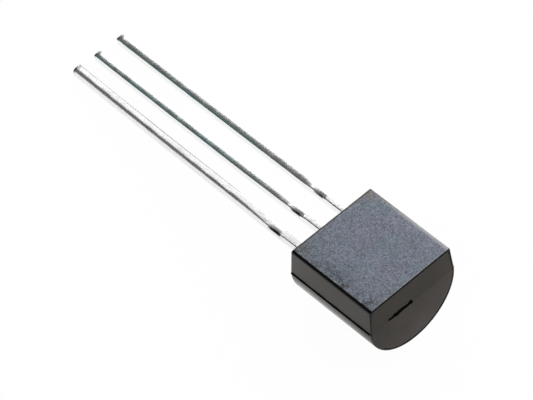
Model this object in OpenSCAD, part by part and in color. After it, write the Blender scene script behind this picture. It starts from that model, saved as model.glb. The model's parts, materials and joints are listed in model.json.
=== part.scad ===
// Small-signal transistor in a three-lead moulded package, lying at rest on its round back
// and the tips of its leads, with the flat face up.
//
// The pieces are drawn in the package's own frame: X runs from the lead tips (negative) to the
// far end of the body, Y runs across the leads, and Z points out of the flat face. The lead side
// of the body is at x = 0 and the mould's parting plane is z = 0. The module at_rest() then lays
// the package down as it comes to rest on a level surface.

/* [Moulded body] */
// Width of the body across its parting line
body_w = 4.7; // [4.4:0.02:5.2]
// Height of the body, from its lead side to its far end
body_h = 4.7; // [4.3:0.02:5.3]
// Depth of the front half, from the parting plane to the flat face
front_depth = 1.34; // [1.2:0.02:1.7]
// Draft of the front half's two long sides, in degrees
side_draft = 5.6; // [3:0.2:8]
// Draft of the front half's two ends, in degrees
end_draft = 2.2; // [1:0.2:5]
// Radius of the flat face's two long edges
long_edge_r = 0.12; // [0.03:0.01:0.16]
// Radius of the flat face's two end edges
end_edge_r = 0.08; // [0.03:0.01:0.16]
// Radius of the four upright edges of the front half and of the edges round both ends of the back
back_edge_r = 0.04; // [0.03:0.01:0.12]
// How far the bead of flash stands proud along the parting line
flash_proud = 0.035; // [0.01:0.005:0.05]
// Radius of the bead of flash
flash_r = 0.06; // [0.055:0.005:0.1]

/* [Gate mark] */
// Length of the mark that the broken-off gate leaves on the far end
gate_len = 1.36; // [0.8:0.02:1.8]
// Width of the gate mark at its wide end
gate_w = 0.26; // [0.16:0.01:0.34]
// Width of the gate mark at its narrow end
gate_neck_w = 0.13; // [0.06:0.01:0.15]
// Depth that the gate broke out of the body
gate_depth = 0.06; // [0.03:0.01:0.12]
// Distance of the gate mark's middle from the middle of the body
gate_offset = 0.64; // [0:0.02:0.9]
// Height of the gate mark's middle above the parting plane
gate_rise = 0.09; // [0:0.01:0.2]

/* [Leads] */
// Pitch of the three leads
lead_pitch = 1.27; // [1.2:0.01:1.4]
// Width of a lead
lead_w = 0.42; // [0.36:0.01:0.5]
// Thickness of the lead frame strip
lead_t = 0.38; // [0.32:0.01:0.45]
// Length of the leads outside the body
lead_len = 14.66; // [12.7:0.02:15.2]
// How much higher the tin stands at the middle of a lead's front than at its edges
lead_crown = 0.04; // [0.01:0.005:0.06]
// Radius of the edges on the front of a lead
lead_front_r = 0.06; // [0.03:0.01:0.1]
// Radius of the edges on the back of a lead
lead_back_r = 0.03; // [0.01:0.01:0.06]

/* [Dam bar] */
// Distance from the body to where the dam bar was sheared off
dam_gap = 1.48; // [1.2:0.01:1.8]
// Height of the sheared stub along the lead
dam_len = 0.76; // [0.5:0.01:1]
// How far a sheared stub stands out of the lead's side
dam_proud = 0.05; // [0.02:0.01:0.1]

/* [Lead frame inside the body] */
// Distance from the lead side of the body to the anchor ears
ear_start = 0.45; // [0.35:0.01:0.6]
// Length of the anchor ears along a lead
ear_len = 0.34; // [0.2:0.01:0.4]
// How far an anchor ear stands out of the lead's side
ear_proud = 0.15; // [0.08:0.01:0.18]
// Length of a bonding post's head
post_len = 0.52; // [0.4:0.01:0.6]
// Width of a bonding post's head
post_w = 0.68; // [0.5:0.01:0.72]
// Distance from the lead side of the body to the far edge of the base post
base_reach = 1.42; // [1.35:0.01:1.5]
// Distance from the lead side of the body to the far edge of the emitter post
emitter_reach = 2.3; // [1.9:0.01:2.6]
// Gap that the stamping leaves between neighbouring pieces of the frame
stamping_gap = 0.26; // [0.2:0.01:0.34]
// Length of the die paddle
paddle_len = 1.7; // [1.4:0.01:1.9]
// Width of the die paddle
paddle_w = 2.0; // [1.7:0.01:2.1]
// Radius of the corners of the paddle, the posts and the ears
frame_corner_r = 0.1; // [0.04:0.01:0.14]
// Length of the anchor tab past the paddle
tab_len = 0.42; // [0.36:0.01:0.5]
// Width of the anchor tab past the paddle
tab_w = 0.9; // [0.7:0.01:1.1]
// Diameter of the hole that anchors the paddle in the moulding
anchor_hole_d = 0.4; // [0.3:0.01:0.46]

/* [Die and bond wires] */
// Distance from the paddle's near edge to the middle of the die
die_inset_x = 0.72; // [0.4:0.01:1.2]
// Distance from the paddle's inner side to the middle of the die
die_inset_y = 0.72; // [0.4:0.01:1.2]
// Side of the square silicon die
die_side = 0.46; // [0.35:0.01:0.6]
// Thickness of the die
die_t = 0.2; // [0.12:0.01:0.28]
// Thickness of the die-attach layer
attach_t = 0.02; // [0.01:0.005:0.04]
// How far the die-attach layer shows round the die
attach_margin = 0.04; // [0.02:0.005:0.08]
// Distance from the die's middle to the middle of each bonding pad on it
pad_offset = 0.12; // [0.08:0.005:0.13]
// Diameter of a bond wire
wire_d = 0.025; // [0.02:0.001:0.05]
// Diameter of the ball bond on the die
ball_d = 0.075; // [0.06:0.005:0.09]
// Height of a bond wire's loop above the die
loop_h = 0.22; // [0.15:0.01:0.3]
// Length of the stitch that fixes a bond wire to its post, in wire diameters
stitch_ratio = 2.4; // [1.5:0.1:3]

/* [Hidden] */
$fn = 48;

// Margin by which a cutting shape runs past the faces that it cuts
cut_margin = 0.5;

// Round back
back_r = body_w / 2;

// Middle of the bead of flash, measured across from the middle of the body
flash_y = back_r + flash_proud - flash_r;

// Crowned front of a lead: its radius and its middle, then the middle of the rounded edge that
// runs into it and the place where the two touch
lead_crown_r = (lead_w * lead_w / 4 + lead_crown * lead_crown) / (2 * lead_crown);
lead_crown_z = lead_t - lead_crown_r;
lead_edge_y = lead_w / 2 - lead_front_r;
lead_edge_z = lead_crown_z + sqrt(pow(lead_crown_r - lead_front_r, 2) - pow(lead_edge_y, 2));
lead_touch_y = lead_edge_y * lead_crown_r / (lead_crown_r - lead_front_r);

// Run of the sloped ends of a dam-bar stub for each unit that it stands proud
dam_slope = 1.5;

// Rest on the lead tips and on the rounded edge at the lead side of the back:
// the surface is tangent to that edge from the foot of the tips.
rest_drop = back_r - back_edge_r;
rest_run = lead_len + back_edge_r;
rest_tilt = atan(rest_drop / rest_run) + asin(back_edge_r / norm([rest_drop, rest_run]));
rest_lift = lead_len * sin(rest_tilt);
rest_x_min = -lead_len * cos(rest_tilt) - lead_t * sin(rest_tilt);
rest_x_max = (body_h - back_edge_r) * cos(rest_tilt) + rest_drop * sin(rest_tilt) + back_edge_r;

// Places across the leads: the flat face up and the leads pointing at you, the emitter is on
// the left, the base in the middle and the collector on the right.
emitter_y = lead_pitch;
base_y = 0;
collector_y = -lead_pitch;

// Places along the lead frame
section_end = ear_start / 2;
paddle_start = base_reach + stamping_gap;
paddle_end = paddle_start + paddle_len;
paddle_low_y = collector_y - lead_w / 2 - ear_proud;
paddle_high_y = paddle_low_y + paddle_w;
emitter_post_y = emitter_y - (post_w - lead_w) / 2;

// Places on the paddle
die_x = paddle_start + die_inset_x;
die_y = paddle_high_y - die_inset_y;
die_top = lead_t + attach_t + die_t;

// Ends of the bond wires: a pad on the die and the middle of the post's head
base_pad = [die_x - pad_offset, die_y - pad_offset / 2];
emitter_pad = [die_x + pad_offset / 2, die_y + pad_offset];
base_bond = [base_reach - post_len / 2, base_y];
emitter_bond = [emitter_reach - post_len / 2, emitter_post_y];

// Bond wire shape: the ball's height, then the flattened stitch, whose half height and half
// width are shares of the wire's radius, and the share of the loop that stays round
wire_sides = 8;
wire_steps = 16;
ball_h = ball_d / 3;
stitch_len = stitch_ratio * wire_d;
stitch_flatten = 0.45;
stitch_spread = 1.5;
round_share = 0.75;

// Loop shape: how steeply it leaves the ball, how far out and how high its shoulder lies,
// and how much it sags on the way there, each as a share
loop_rise = 1.6;
loop_shoulder = 0.55;
loop_fall = 0.35;
loop_sag = 0.2;

// ---------------------------------------------------------------- shared shapes

// A symmetric trapezoid standing on the X axis, with its two upper corners rounded.
// Its sides lean in by the draft angle.
module drafted_profile(base, height, draft, r) {
    centre = [base / 2 - (height - r) * tan(draft) - r / cos(draft), height - r];
    touch = centre + r * [cos(draft), sin(draft)];
    polygon([[-base / 2, 0], [base / 2, 0], touch, [centre.x, height],
             [-centre.x, height], [-touch.x, touch.y]]);
    for (side = [-1, 1])
        translate([side * centre.x, centre.y]) circle(r);
}

// A rectangle from corner to corner with rounded corners.
module rounded_rect(low, high, r) {
    translate([low.x + r, low.y]) square([high.x - low.x - 2 * r, high.y - low.y]);
    translate([low.x, low.y + r]) square([high.x - low.x, high.y - low.y - 2 * r]);
    for (x = [low.x + r, high.x - r], y = [low.y + r, high.y - r])
        translate([x, y]) circle(r);
}

// Lays the package down on a level surface, with the origin under the middle of its box.
module at_rest() {
    translate([-(rest_x_min + rest_x_max) / 2, 0, rest_lift])
        rotate([0, -rest_tilt, 0]) children();
}

// ---------------------------------------------------------------- moulded body

// The front half: its outlines seen along the leads, from the side and from the front,
// each carried through and kept where all three meet.
module front_half() {
    intersection() {
        rotate([90, 0, 90]) linear_extrude(body_h)
            drafted_profile(body_w, front_depth, side_draft, long_edge_r);
        translate([body_h / 2, body_w / 2, 0]) rotate([90, 0, 0]) linear_extrude(body_w)
            drafted_profile(body_h, front_depth, end_draft, end_edge_r);
        linear_extrude(front_depth)
            rounded_rect([0, -back_r], [body_h, back_r], back_edge_r);
    }
}

// The round back: half a turn about the line where the parting plane meets the middle
// of the body, with rounded edges at both ends.
module round_back() {
    rotate([0, 90, 0]) rotate([0, 0, -90]) rotate_extrude(angle = 180, $fn = 96)
        union() {
            translate([0, 0]) square([back_r - back_edge_r, body_h]);
            translate([0, back_edge_r]) square([back_r, body_h - 2 * back_edge_r]);
            for (end = [back_edge_r, body_h - back_edge_r])
                translate([back_r - back_edge_r, end]) circle(back_edge_r);
        }
}

// The bead of flash that the two halves of the mould leave along each long side.
module flash() {
    for (side = [-1, 1])
        translate([back_edge_r, side * flash_y, 0]) rotate([0, 90, 0])
            cylinder(r = flash_r, h = body_h - 2 * back_edge_r);
}

// The mark where the gate broke off, a wedge that narrows to a neck, as a cutting shape.
module gate_mark() {
    translate([body_h - gate_depth, -gate_offset, gate_rise]) rotate([90, 0, 90])
        linear_extrude(gate_depth + cut_margin) {
            polygon([[-gate_len / 2 + gate_w / 2, -gate_w / 2], [-gate_len / 2, 0],
                     [-gate_len / 2 + gate_w / 2, gate_w / 2], [0, gate_neck_w / 2],
                     [gate_len / 2, gate_neck_w / 2], [gate_len / 2, -gate_neck_w / 2],
                     [0, -gate_neck_w / 2]]);
            translate([gate_len / 2, 0]) circle(gate_neck_w / 2);
        }
}

// One moulding, which fits closely round everything that it holds.
module moulded_body() {
    color("#4d4c4f") difference() {
        union() {
            front_half();
            round_back();
            flash();
        }
        gate_mark();
        emitter_lead();
        base_lead();
        collector_lead();
        die_attach();
        silicon_die();
        base_bond_wire();
        emitter_bond_wire();
    }
}

// ---------------------------------------------------------------- leads

// The section of a lead: the stamped strip with its edges rounded, its front crowned by the tin.
module lead_section() {
    half = lead_w / 2;
    translate([-half, lead_back_r]) square([lead_w, lead_edge_z - lead_back_r]);
    translate([-half + lead_back_r, 0]) square([lead_w - 2 * lead_back_r, lead_t / 2]);
    intersection() {
        translate([-lead_touch_y, lead_back_r]) square([2 * lead_touch_y, lead_t]);
        translate([0, lead_crown_z]) circle(lead_crown_r);
    }
    for (side = [-1, 1]) {
        translate([side * lead_edge_y, lead_edge_z]) circle(lead_front_r);
        translate([side * (half - lead_back_r), lead_back_r]) circle(lead_back_r);
    }
}

// What the three leads share: the straight leg, the sheared stubs of the dam bar,
// and the stem with its anchor ears inside the body, up to the given reach.
module lead_leg(y, reach) {
    translate([-lead_len, y, 0]) rotate([90, 0, 90])
        linear_extrude(lead_len + section_end) lead_section();
    dam_stubs(y);
    linear_extrude(lead_t) {
        translate([section_end, y - lead_w / 2]) square([reach - section_end, lead_w]);
        rounded_rect([ear_start, y - lead_w / 2 - ear_proud],
                     [ear_start + ear_len, y + lead_w / 2 + ear_proud], frame_corner_r);
    }
}

// The stubs left on both sides of a lead where the dam bar was sheared off.
module dam_stubs(y) {
    slope = dam_proud * dam_slope;
    far = -dam_gap - dam_len;
    translate([0, y, lead_back_r]) linear_extrude(lead_edge_z - lead_back_r)
        polygon([for (side = [-1, 1], p = [[far, 0], [far + slope, dam_proud],
                                           [-dam_gap - slope, dam_proud], [-dam_gap, 0]])
            side < 0 ? [p.x, -lead_w / 2 - p.y]
                     : [-dam_gap + far - p.x, lead_w / 2 + p.y]]);
}

module emitter_lead() {
    color("#c9cbc8") {
        lead_leg(emitter_y, emitter_reach - post_len / 2);
        linear_extrude(lead_t)
            rounded_rect([emitter_reach - post_len, emitter_post_y - post_w / 2],
                         [emitter_reach, emitter_post_y + post_w / 2], frame_corner_r);
    }
}

module base_lead() {
    color("#c9cbc8") {
        lead_leg(base_y, base_reach - post_len / 2);
        linear_extrude(lead_t)
            rounded_rect([base_reach - post_len, base_y - post_w / 2],
                         [base_reach, base_y + post_w / 2], frame_corner_r);
    }
}

// The collector lead widens into the paddle that carries the die. The tab past the
// paddle has a hole that the moulding fills.
module collector_lead() {
    tab_y = (paddle_low_y + paddle_high_y) / 2;
    color("#c9cbc8") difference() {
        union() {
            lead_leg(collector_y, paddle_start + paddle_len / 2);
            linear_extrude(lead_t) {
                rounded_rect([paddle_start, paddle_low_y],
                             [paddle_end, paddle_high_y], frame_corner_r);
                rounded_rect([paddle_end - tab_w / 2, tab_y - tab_w / 2],
                             [paddle_end + tab_len, tab_y + tab_w / 2], frame_corner_r);
            }
        }
        translate([paddle_end, tab_y, -cut_margin])
            cylinder(d = anchor_hole_d, h = lead_t + 2 * cut_margin);
    }
}

// ---------------------------------------------------------------- die and wires

module die_attach() {
    side = die_side + 2 * attach_margin;
    color("#9d9d98") translate([die_x, die_y, lead_t]) linear_extrude(attach_t)
        rounded_rect([-side / 2, -side / 2], [side / 2, side / 2], attach_margin);
}

module silicon_die() {
    color("#3a3d4a") translate([die_x - die_side / 2, die_y - die_side / 2, lead_t + attach_t])
        cube([die_side, die_side, die_t]);
}

// A point on the wire's loop, at t from 0 to 1, as [distance towards the post, height].
// It leaves the ball straight up and comes down level with the post.
function loop_point(t, span, drop) =
    let (a = 1 - t, rise = loop_h * loop_rise)
    [3 * a * t * t * (span * loop_shoulder) + t * t * t * span,
     3 * a * a * t * rise + 3 * a * t * t * (rise - drop) * loop_fall - t * t * t * drop
     - (1 - a * a) * a * drop * loop_sag];

// The rings of one wire, each as [distance, height, half width, half height, lean]:
// the ball, the loop, and the flattened stitch on the post.
function wire_rings(span, drop) =
    let (r = wire_d / 2, flat = r * stitch_flatten, wide = r * stitch_spread,
         start = ball_h + r, run = span - stitch_len,
         land = drop - flat * cos(180 / wire_sides),
         points = [for (i = [0 : wire_steps])
             loop_point(i / wire_steps, run, land + start) + [0, start]])
    concat(
        [[0, 0, ball_d / 2, ball_d / 2, 90], [0, ball_h, ball_d / 2, ball_d / 2, 90]],
        [for (i = [0 : wire_steps])
            let (before = points[max(i - 1, 0)], after = points[min(i + 1, wire_steps)],
                 lean = i == 0 ? 90 : i == wire_steps ? 0
                      : atan2(after.y - before.y, after.x - before.x),
                 squash = max(0, (i / wire_steps - round_share) / (1 - round_share)))
            [points[i].x, points[i].y, r + (wide - r) * squash,
             r + (flat - r) * squash, lean]],
        [[span, -drop + flat * cos(180 / wire_sides), wide, flat, 0]]);

// A bond wire swept from a pad on the die to a post's face.
module bond_wire(from, to) {
    span = norm(to - from);
    rings = wire_rings(span, die_top - lead_t);
    last = len(rings) - 1;
    points = [for (ring = rings, k = [0 : wire_sides - 1])
        let (turn = 360 * (k + 0.5) / wire_sides, up = ring[3] * sin(turn))
        [ring.x - up * sin(ring[4]), ring[2] * cos(turn), ring.y + up * cos(ring[4])]];
    faces = concat(
        [[for (k = [0 : wire_sides - 1]) k]],
        [for (i = [0 : last - 1], k = [0 : wire_sides - 1], half = [0, 1])
            let (a = i * wire_sides + k, b = i * wire_sides + (k + 1) % wire_sides)
            half == 0 ? [a, a + wire_sides, b + wire_sides] : [a, b + wire_sides, b]],
        [[for (k = [wire_sides - 1 : -1 : 0]) last * wire_sides + k]]);
    translate([from.x, from.y, die_top])
        rotate([0, 0, atan2(to.y - from.y, to.x - from.x)])
            polyhedron(points, faces);
}

module base_bond_wire() {
    color("#d9b04a") bond_wire(base_pad, base_bond);
}

module emitter_bond_wire() {
    color("#d9b04a") bond_wire(emitter_pad, emitter_bond);
}

// ---------------------------------------------------------------- the part

at_rest() moulded_body();
at_rest() emitter_lead();
at_rest() base_lead();
at_rest() collector_lead();
at_rest() die_attach();
at_rest() silicon_die();
at_rest() base_bond_wire();
at_rest() emitter_bond_wire();
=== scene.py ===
"""Small-signal transistor in a three-lead moulded package, dressed on its CAD frame.

Every new piece is modelled in the package's own frame, in millimetres: X runs from the lead
tips (negative) to the far end of the body, Y runs across the leads and Z points out of the
flat face. The lead side of the body is at x = 0 and the mould's parting plane is z = 0.
PackageFrame then lays each finished mesh down where the CAD model rests, in metres.
"""

import json
import logging
import math
from dataclasses import dataclass
from enum import Enum

import bmesh
import bpy
from mathutils import Matrix, Vector, noise


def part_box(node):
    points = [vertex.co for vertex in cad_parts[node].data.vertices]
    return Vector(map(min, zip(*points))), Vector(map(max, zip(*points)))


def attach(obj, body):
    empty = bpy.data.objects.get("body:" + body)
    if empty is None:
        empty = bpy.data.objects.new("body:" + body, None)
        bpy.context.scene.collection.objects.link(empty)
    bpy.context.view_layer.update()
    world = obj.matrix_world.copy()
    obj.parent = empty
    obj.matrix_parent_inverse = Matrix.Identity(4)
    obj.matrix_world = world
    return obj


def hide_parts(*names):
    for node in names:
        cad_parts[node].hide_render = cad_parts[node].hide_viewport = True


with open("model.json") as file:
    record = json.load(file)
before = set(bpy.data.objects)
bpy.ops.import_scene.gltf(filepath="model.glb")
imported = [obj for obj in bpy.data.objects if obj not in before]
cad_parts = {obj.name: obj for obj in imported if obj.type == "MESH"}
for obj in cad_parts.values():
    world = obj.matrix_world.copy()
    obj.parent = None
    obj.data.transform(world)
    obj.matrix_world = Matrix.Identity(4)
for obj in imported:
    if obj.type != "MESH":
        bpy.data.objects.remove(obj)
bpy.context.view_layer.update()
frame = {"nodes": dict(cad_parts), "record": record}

BODY = "root"
MILLIMETRE = 0.001
log = logging.getLogger("transistor")

Piece = bpy.types.Object
Shape = bmesh.types.BMesh
Socket = bpy.types.NodeSocket
Value = Socket | float
Colour = tuple[float, float, float]
# Smooth steps that are multiplied: what each runs over, its two ends, and the values at them
# where these aren't 0 and 1.
Mask = tuple[tuple[str | float, ...], ...]
# Pairs of place and height, in rising order of place.
Stations = tuple[tuple[float, float], ...]


class Slot(Enum):
    """The record's material slots that new pieces take."""

    COMPOUND = "moulding_compound"
    TIN = "tinned_lead"


class Operation(Enum):
    """What a solid does to the one that it is combined with."""

    JOIN = "UNION"
    CUT = "DIFFERENCE"


class Side(Enum):
    """The two long sides of the body, by the sign of their place across the leads."""

    LOW = -1
    HIGH = 1


# ---------------------------------------------------------------- the package's own frame


@dataclass(frozen=True)
class PackageFrame:
    """Where the package's own frame lies in the world.

    Attributes:
        along: World direction from the lead tips to the far end of the body.
        outward: World direction out of the flat face.
        origin: World place, in metres, of the package's own origin.
    """

    along: Vector
    outward: Vector
    origin: Vector

    @classmethod
    def from_record(cls, record: dict, body_height: float, front_depth: float) -> "PackageFrame":
        """Reads the frame off the record's mounts.

        Args:
            record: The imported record.
            body_height: Height of the body along the leads, in millimetres.
            front_depth: Depth of the front half, in millimetres.

        Returns:
            The frame in which the package lies at rest.
        """
        mounts = {mount["name"]: mount for mount in record["mounts"]}
        along = -Vector(mounts["base_terminal"]["axis"]).normalized()
        outward = Vector(mounts["flat_face"]["axis"]).normalized()
        middle = Vector(mounts["flat_face"]["pos_m"])
        inset = along * body_height / 2 + outward * front_depth
        return cls(along, outward, middle - inset * MILLIMETRE)

    @property
    def to_world(self) -> Matrix:
        """The matrix from package millimetres to world metres."""
        across = self.outward.cross(self.along)
        turn = Matrix((self.along, across, self.outward)).transposed().to_4x4()
        return Matrix.Translation(self.origin) @ turn @ Matrix.Scale(MILLIMETRE, 4)


# ---------------------------------------------------------------- bench tools


def link(name: str, data: bpy.types.ID) -> Piece:
    """Makes an object of a mesh, a lamp or a camera and links it to the scene."""
    made = bpy.data.objects.new(name, data)
    bpy.context.scene.collection.objects.link(made)
    return made


def to_mesh(shape: Shape, name: str) -> bpy.types.Mesh:
    """Makes a mesh of a bmesh, which is freed."""
    mesh = bpy.data.meshes.new(name)
    shape.to_mesh(mesh)
    shape.free()
    return mesh


def diamond(lay: Matrix) -> Shape:
    """Starts a bmesh with a four-sided outline of radius 1, put in place by a matrix."""
    shape = bmesh.new()
    bmesh.ops.create_circle(shape, segments=4, radius=1.0, cap_ends=False, matrix=lay)
    return shape


def square(lay: Matrix, columns: int = 1, rows: int = 1) -> Shape:
    """Starts a bmesh with a square face of side 1, put in place by a matrix."""
    shape = bmesh.new()
    bmesh.ops.create_grid(shape, x_segments=columns, y_segments=rows, size=0.5, matrix=lay)
    return shape


def round_corners(shape: Shape, corners: list, radius: float, segments: int) -> None:
    """Rounds corners of a flat face."""
    bmesh.ops.bevel(shape, geom=corners, offset=radius, offset_type="OFFSET", segments=segments,
                    profile=0.5, affect="VERTICES", clamp_overlap=True, material=-1)


def carry(shape: Shape, outline: list, steps: int, by: tuple = (0.0, 0.0, 0.0),
          turn: float = 0.0) -> list:
    """Carries an outline straight along, or round the X axis, in equal steps.

    Args:
        shape: The bmesh that holds the outline.
        outline: The outline's vertices and edges.
        steps: Number of steps.
        by: The whole straight move, in millimetres.
        turn: The whole turn about the X axis, in degrees.

    Returns:
        The outline at its last place.
    """
    return bmesh.ops.spin(shape, geom=outline, cent=(0, 0, 0), axis=(1, 0, 0),
                          angle=math.radians(turn), dvec=[part / steps for part in by],
                          steps=steps, use_duplicate=False)["geom_last"]


def thicken(shape: Shape, faces: list, by: tuple[float, float, float]) -> None:
    """Extrudes flat faces into a solid."""
    raised = bmesh.ops.extrude_face_region(shape, geom=faces)["geom"]
    bmesh.ops.translate(shape, vec=by,
                        verts=[part for part in raised if isinstance(part, bmesh.types.BMVert)])


def close_ends(shape: Shape) -> None:
    """Fills the open ends of a tube."""
    bmesh.ops.holes_fill(shape, edges=shape.edges[:], sides=0)


def smooth_step(value: float, low: float, high: float) -> float:
    """Rises smoothly from 0 at low to 1 at high."""
    share = min(max((value - low) / (high - low), 0.0), 1.0)
    return share * share * (3 - 2 * share)


def between(value: float, stations: Stations) -> float:
    """Reads a run of stations, with smooth steps from one to the next.

    Args:
        value: Where to read.
        stations: The run.

    Returns:
        The height there. Outside the run it is that of the nearest station.
    """
    height = stations[0][1]
    for (start, low), (end, high) in zip(stations, stations[1:]):
        height += (high - low) * smooth_step(value, start, end)
    return height


@dataclass
class Bench:
    """Turns bmeshes into solids, combines them and lays them down in the world.

    Attributes:
        package: The frame that finished pieces are laid down in.
        merge: Distance within which vertices of a new solid are merged, in millimetres.
        node_merge: The same for the loose triangles of a CAD node.
        flat_weight: How strongly large faces lead the corner normals.
    """

    package: PackageFrame
    merge: float = 1e-6
    node_merge: float = 1e-5
    flat_weight: int = 100

    def solid(self, shape: Shape, name: str) -> Piece:
        """Makes an object of a closed bmesh, which is freed, with its faces turned outwards."""
        bmesh.ops.remove_doubles(shape, verts=shape.verts[:], dist=self.merge)
        bmesh.ops.recalc_face_normals(shape, faces=shape.faces[:])
        if shape.calc_volume(signed=True) < 0:
            bmesh.ops.reverse_faces(shape, faces=shape.faces[:])
        return link(name, to_mesh(shape, name))

    def copy_of_node(self, node: str) -> Piece:
        """Makes a solid of a CAD node's mesh, merged and back in the package's frame."""
        shape = bmesh.new()
        shape.from_mesh(frame["nodes"][node].data)
        shape.transform(self.package.to_world.inverted())
        bmesh.ops.remove_doubles(shape, verts=shape.verts[:], dist=self.node_merge)
        return self.solid(shape, node + "_tool")

    def combine(self, target: Piece, tool: Piece, operation: Operation,
                keep_tool: bool = False) -> None:
        """Joins a tool to a target, or cuts it out of the target, for good.

        Args:
            target: The object that is changed.
            tool: The object that is joined or cut out.
            operation: Whether the tool is joined or cut out.
            keep_tool: Whether the tool stays in the scene.
        """
        modifier = target.modifiers.new(operation.name, "BOOLEAN")
        modifier.operation = operation.value
        modifier.solver = "EXACT"
        modifier.object = tool
        bpy.context.view_layer.update()
        graph = bpy.context.evaluated_depsgraph_get()
        result = bpy.data.meshes.new_from_object(target.evaluated_get(graph), depsgraph=graph)
        target.modifiers.clear()
        if not result.polygons:
            raise RuntimeError(f"nothing is left of {target.name} after {operation.name} {tool.name}")
        before, target.data = target.data, result
        result.name = before.name
        bpy.data.meshes.remove(before)
        if not keep_tool:
            left = tool.data
            bpy.data.objects.remove(tool)
            bpy.data.meshes.remove(left)

    def lay_down(self, piece: Piece, sharp_from: float) -> None:
        """Puts a finished piece where it rests and smooths its rounded faces.

        Args:
            piece: The piece, in package millimetres.
            sharp_from: Angle between two faces from which their edge stays sharp, in degrees.
        """
        piece.data.transform(self.package.to_world)
        # Corner normals that a solid inherits from the CAD mesh would decide what counts as sharp.
        inherited = piece.data.attributes.get("custom_normal")
        if inherited is not None:
            piece.data.attributes.remove(inherited)
        piece.data.shade_smooth()
        piece.data.set_sharp_from_angle(angle=math.radians(sharp_from))
        weighted = piece.modifiers.new("weighted_normals", "WEIGHTED_NORMAL")
        weighted.keep_sharp = True
        weighted.weight = self.flat_weight


# ---------------------------------------------------------------- shader tools


class NodeSketch:
    """Adds nodes to a node tree and joins them."""

    def __init__(self, tree: bpy.types.NodeTree) -> None:
        """Keeps the tree that is drawn in."""
        self.tree = tree

    @classmethod
    def bare(cls, owner: bpy.types.Material | bpy.types.World) -> "NodeSketch":
        """Starts on the emptied tree of a material or a world."""
        owner.use_nodes = True
        owner.node_tree.nodes.clear()
        return cls(owner.node_tree)

    def put(self, socket: Socket, value: object) -> None:
        """Joins a source to a socket, or sets the socket's value."""
        if isinstance(value, Socket):
            self.tree.links.new(value, socket)
        else:
            socket.default_value = value

    def node(self, kind: str, sockets: dict | None = None, **settings: object) -> bpy.types.Node:
        """Adds a node.

        Args:
            kind: The node's type.
            sockets: Values or source sockets for its inputs, by name or number.
            **settings: Properties of the node.

        Returns:
            The new node.
        """
        made = self.tree.nodes.new(kind)
        for key, value in settings.items():
            setattr(made, key, value)
        for key, value in (sockets or {}).items():
            self.put(made.inputs[key], value)
        return made

    def math(self, operation: str, *values: Value, clamp: bool = False) -> Socket:
        """Adds a Math node and returns its result."""
        return self.node("ShaderNodeMath", dict(enumerate(values)), operation=operation,
                         use_clamp=clamp).outputs[0]

    def chain(self, operation: str, *values: Value, clamp: bool = False) -> Socket:
        """Adds Math nodes that take the values in turn and returns the last result."""
        result, *others = values
        for value in others:
            result = self.math(operation, result, value, clamp=clamp)
        return result

    def times(self, *values: Value, clamp: bool = False) -> Socket:
        """Multiplies the values."""
        return self.chain("MULTIPLY", *values, clamp=clamp)

    def plus(self, *values: Value) -> Socket:
        """Adds the values up."""
        return self.chain("ADD", *values)

    def minus(self, first: Value, second: Value) -> Socket:
        """Takes the second value from the first."""
        return self.math("SUBTRACT", first, second)

    def apart(self, first: Value, second: Value) -> Socket:
        """The distance between two values."""
        return self.math("ABSOLUTE", self.minus(first, second))

    def highest(self, *values: Value) -> Socket:
        """The highest of the values."""
        return self.chain("MAXIMUM", *values)

    def lowest(self, *values: Value) -> Socket:
        """The lowest of the values."""
        return self.chain("MINIMUM", *values)

    def stack(self, base: Value, *layers: tuple[Value, float]) -> Socket:
        """Adds layers to a base, each with its weight."""
        for value, weight in layers:
            base = self.math("MULTIPLY_ADD", value, weight, base)
        return base

    def ramp(self, value: Value, low: float, high: float, to_low: float = 0.0,
             to_high: float = 1.0) -> Socket:
        """Adds a smooth Map Range node and returns its result."""
        sockets = {"Value": value, "From Min": low, "From Max": high,
                   "To Min": to_low, "To Max": to_high}
        return self.node("ShaderNodeMapRange", sockets,
                         interpolation_type="SMOOTHSTEP").outputs["Result"]

    def mix(self, share: Value, first: Socket | Colour, second: Socket | Colour) -> Socket:
        """Adds a colour Mix node and returns its result."""
        made = self.node("ShaderNodeMix", {"Factor": share}, data_type="RGBA")
        for name, value in (("A_Color", first), ("B_Color", second)):
            socket = next(s for s in made.inputs if s.identifier == name)
            self.put(socket, value if isinstance(value, Socket) else (*value, 1.0))
        return next(s for s in made.outputs if s.identifier == "Result_Color")

    def parts(self, vector: Socket) -> bpy.types.NodeOutputs:
        """Splits a vector into X, Y and Z."""
        return self.node("ShaderNodeSeparateXYZ", {0: vector}).outputs

    def object_place(self) -> Socket:
        """The place on the surface, in the object's own coordinates."""
        return self.node("ShaderNodeTexCoord").outputs["Object"]


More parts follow.
